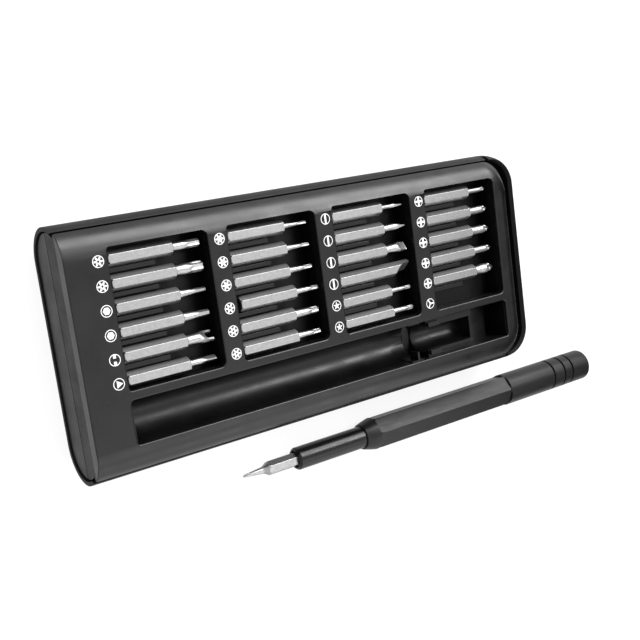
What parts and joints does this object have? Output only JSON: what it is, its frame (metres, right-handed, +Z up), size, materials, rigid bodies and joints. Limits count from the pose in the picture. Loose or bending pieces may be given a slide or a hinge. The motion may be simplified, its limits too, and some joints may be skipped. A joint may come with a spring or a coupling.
{
  "type": "precision screwdriver set",
  "caption": "Flat pocket case lying open-faced, with rows of small hex bits in a slide-out tray, and its slim driver with a swivel cap lying beside it holding a bit.",
  "frame": {"origin": "centre of the cover's flat underside, on the table the case lies on", "axes": "+X along the case, from the tray's open end to the cover's closed end; +Z up out of the open face; +Y to the side away from the driver"},
  "size_m": [0.2023, 0.0909, 0.0199],
  "materials": {
    "case_black": "fine satin black moulding with white printed rings",
    "cover_black": "satin black moulding, slightly textured on the lips",
    "inner_black": "matt black moulding",
    "bit_steel": "satin bare tool steel",
    "holder_black": "glossy black plated steel",
    "handle_black": "satin black anodised",
    "magnet_metal": "plain plated magnet",
    "screw_steel": "dark plated",
    "bush_plastic": "plain moulded"
  },
  "bodies": {
    "cover": {"slide_cover": "cover_black"},
    "tray": {"tray_front": "case_black", "tray_back": "inner_black", "tray_screw_1": "screw_steel", "tray_screw_2": "screw_steel", "tray_screw_3": "screw_steel", "tray_screw_4": "screw_steel", "bit_magnet_1": "magnet_metal", "bit_magnet_2": "magnet_metal", "bit_magnet_3": "magnet_metal", "bit_magnet_4": "magnet_metal"},
    "bit_in_tray_pin_six_lobe_large": {"bit_pin_six_lobe_large": "bit_steel"},
    "bit_in_tray_pin_six_lobe_extra_large": {"bit_pin_six_lobe_extra_large": "bit_steel"},
    "bit_in_tray_hexagon_small": {"bit_hexagon_small": "bit_steel"},
    "bit_in_tray_hexagon_large": {"bit_hexagon_large": "bit_steel"},
    "bit_in_tray_two_prong": {"bit_two_prong": "bit_steel"},
    "bit_in_tray_triangle": {"bit_triangle": "bit_steel"},
    "bit_in_tray_six_lobe_1": {"bit_six_lobe_1": "bit_steel"},
    "bit_in_tray_six_lobe_2": {"bit_six_lobe_2": "bit_steel"},
    "bit_in_tray_six_lobe_3": {"bit_six_lobe_3": "bit_steel"},
    "bit_in_tray_pin_six_lobe_1": {"bit_pin_six_lobe_1": "bit_steel"},
    "bit_in_tray_pin_six_lobe_2": {"bit_pin_six_lobe_2": "bit_steel"},
    "bit_in_tray_pin_six_lobe_3": {"bit_pin_six_lobe_3": "bit_steel"},
    "bit_in_tray_slotted_narrow": {"bit_slotted_narrow": "bit_steel"},
    "bit_in_tray_slotted_medium": {"bit_slotted_medium": "bit_steel"},
    "bit_in_tray_slotted_wide": {"bit_slotted_wide": "bit_steel"},
    "bit_in_tray_slotted_chisel": {"bit_slotted_chisel": "bit_steel"},
    "bit_in_tray_star_small": {"bit_star_small": "bit_steel"},
    "bit_in_tray_star_large": {"bit_star_large": "bit_steel"},
    "bit_in_tray_cross_1": {"bit_cross_1": "bit_steel"},
    "bit_in_tray_cross_2": {"bit_cross_2": "bit_steel"},
    "bit_in_tray_cross_3": {"bit_cross_3": "bit_steel"},
    "bit_in_tray_cross_4": {"bit_cross_4": "bit_steel"},
    "bit_in_tray_cross_5": {"bit_cross_5": "bit_steel"},
    "driver": {"driver_bit_holder": "holder_black", "driver_magnet": "magnet_metal", "driver_handle": "handle_black", "driver_cap_pin": "screw_steel", "driver_cap_bush": "bush_plastic"},
    "bit_in_driver": {"bit_three_wing": "bit_steel"},
    "cap": {"driver_cap": "handle_black"}
  },
  "joints": [
    {"name": "tray_slide", "type": "slide", "parent": "cover", "child": "tray", "axis": [-1, 0, 0], "range_m": [0, 0.165]},
    {"name": "lift_bit_pin_six_lobe_large", "type": "slide", "parent": "tray", "child": "bit_in_tray_pin_six_lobe_large", "axis": [0, 0, 1], "range_m": [0, 0.03]},
    {"name": "lift_bit_pin_six_lobe_extra_large", "type": "slide", "parent": "tray", "child": "bit_in_tray_pin_six_lobe_extra_large", "axis": [0, 0, 1], "range_m": [0, 0.03]},
    {"name": "lift_bit_hexagon_small", "type": "slide", "parent": "tray", "child": "bit_in_tray_hexagon_small", "axis": [0, 0, 1], "range_m": [0, 0.03]},
    {"name": "lift_bit_hexagon_large", "type": "slide", "parent": "tray", "child": "bit_in_tray_hexagon_large", "axis": [0, 0, 1], "range_m": [0, 0.03]},
    {"name": "lift_bit_two_prong", "type": "slide", "parent": "tray", "child": "bit_in_tray_two_prong", "axis": [0, 0, 1], "range_m": [0, 0.03]},
    {"name": "lift_bit_triangle", "type": "slide", "parent": "tray", "child": "bit_in_tray_triangle", "axis": [0, 0, 1], "range_m": [0, 0.03]},
    {"name": "lift_bit_six_lobe_1", "type": "slide", "parent": "tray", "child": "bit_in_tray_six_lobe_1", "axis": [0, 0, 1], "range_m": [0, 0.03]},
    {"name": "lift_bit_six_lobe_2", "type": "slide", "parent": "tray", "child": "bit_in_tray_six_lobe_2", "axis": [0, 0, 1], "range_m": [0, 0.03]},
    {"name": "lift_bit_six_lobe_3", "type": "slide", "parent": "tray", "child": "bit_in_tray_six_lobe_3", "axis": [0, 0, 1], "range_m": [0, 0.03]},
    {"name": "lift_bit_pin_six_lobe_1", "type": "slide", "parent": "tray", "child": "bit_in_tray_pin_six_lobe_1", "axis": [0, 0, 1], "range_m": [0, 0.03]},
    {"name": "lift_bit_pin_six_lobe_2", "type": "slide", "parent": "tray", "child": "bit_in_tray_pin_six_lobe_2", "axis": [0, 0, 1], "range_m": [0, 0.03]},
    {"name": "lift_bit_pin_six_lobe_3", "type": "slide", "parent": "tray", "child": "bit_in_tray_pin_six_lobe_3", "axis": [0, 0, 1], "range_m": [0, 0.03]},
    {"name": "lift_bit_slotted_narrow", "type": "slide", "parent": "tray", "child": "bit_in_tray_slotted_narrow", "axis": [0, 0, 1], "range_m": [0, 0.03]},
    {"name": "lift_bit_slotted_medium", "type": "slide", "parent": "tray", "child": "bit_in_tray_slotted_medium", "axis": [0, 0, 1], "range_m": [0, 0.03]},
    {"name": "lift_bit_slotted_wide", "type": "slide", "parent": "tray", "child": "bit_in_tray_slotted_wide", "axis": [0, 0, 1], "range_m": [0, 0.03]},
    {"name": "lift_bit_slotted_chisel", "type": "slide", "parent": "tray", "child": "bit_in_tray_slotted_chisel", "axis": [0, 0, 1], "range_m": [0, 0.03]},
    {"name": "lift_bit_star_small", "type": "slide", "parent": "tray", "child": "bit_in_tray_star_small", "axis": [0, 0, 1], "range_m": [0, 0.03]},
    {"name": "lift_bit_star_large", "type": "slide", "parent": "tray", "child": "bit_in_tray_star_large", "axis": [0, 0, 1], "range_m": [0, 0.03]},
    {"name": "lift_bit_cross_1", "type": "slide", "parent": "tray", "child": "bit_in_tray_cross_1", "axis": [0, 0, 1], "range_m": [0, 0.03]},
    {"name": "lift_bit_cross_2", "type": "slide", "parent": "tray", "child": "bit_in_tray_cross_2", "axis": [0, 0, 1], "range_m": [0, 0.03]},
    {"name": "lift_bit_cross_3", "type": "slide", "parent": "tray", "child": "bit_in_tray_cross_3", "axis": [0, 0, 1], "range_m": [0, 0.03]},
    {"name": "lift_bit_cross_4", "type": "slide", "parent": "tray", "child": "bit_in_tray_cross_4", "axis": [0, 0, 1], "range_m": [0, 0.03]},
    {"name": "lift_bit_cross_5", "type": "slide", "parent": "tray", "child": "bit_in_tray_cross_5", "axis": [0, 0, 1], "range_m": [0, 0.03]},
    {"name": "driver_lift", "type": "slide", "parent": "cover", "child": "driver", "axis": [0, 0, 1], "range_m": [0, 0.06]},
    {"name": "driver_bit_pull", "type": "slide", "parent": "driver", "child": "bit_in_driver", "axis": [-1, 0, 0], "range_m": [0, 0.02]},
    {"name": "cap_spin", "type": "hinge", "parent": "driver", "child": "cap", "pos_m": [0.1143, -0.0494, 0.0056], "axis": [1, 0, 0], "continuous": true}
  ]
}
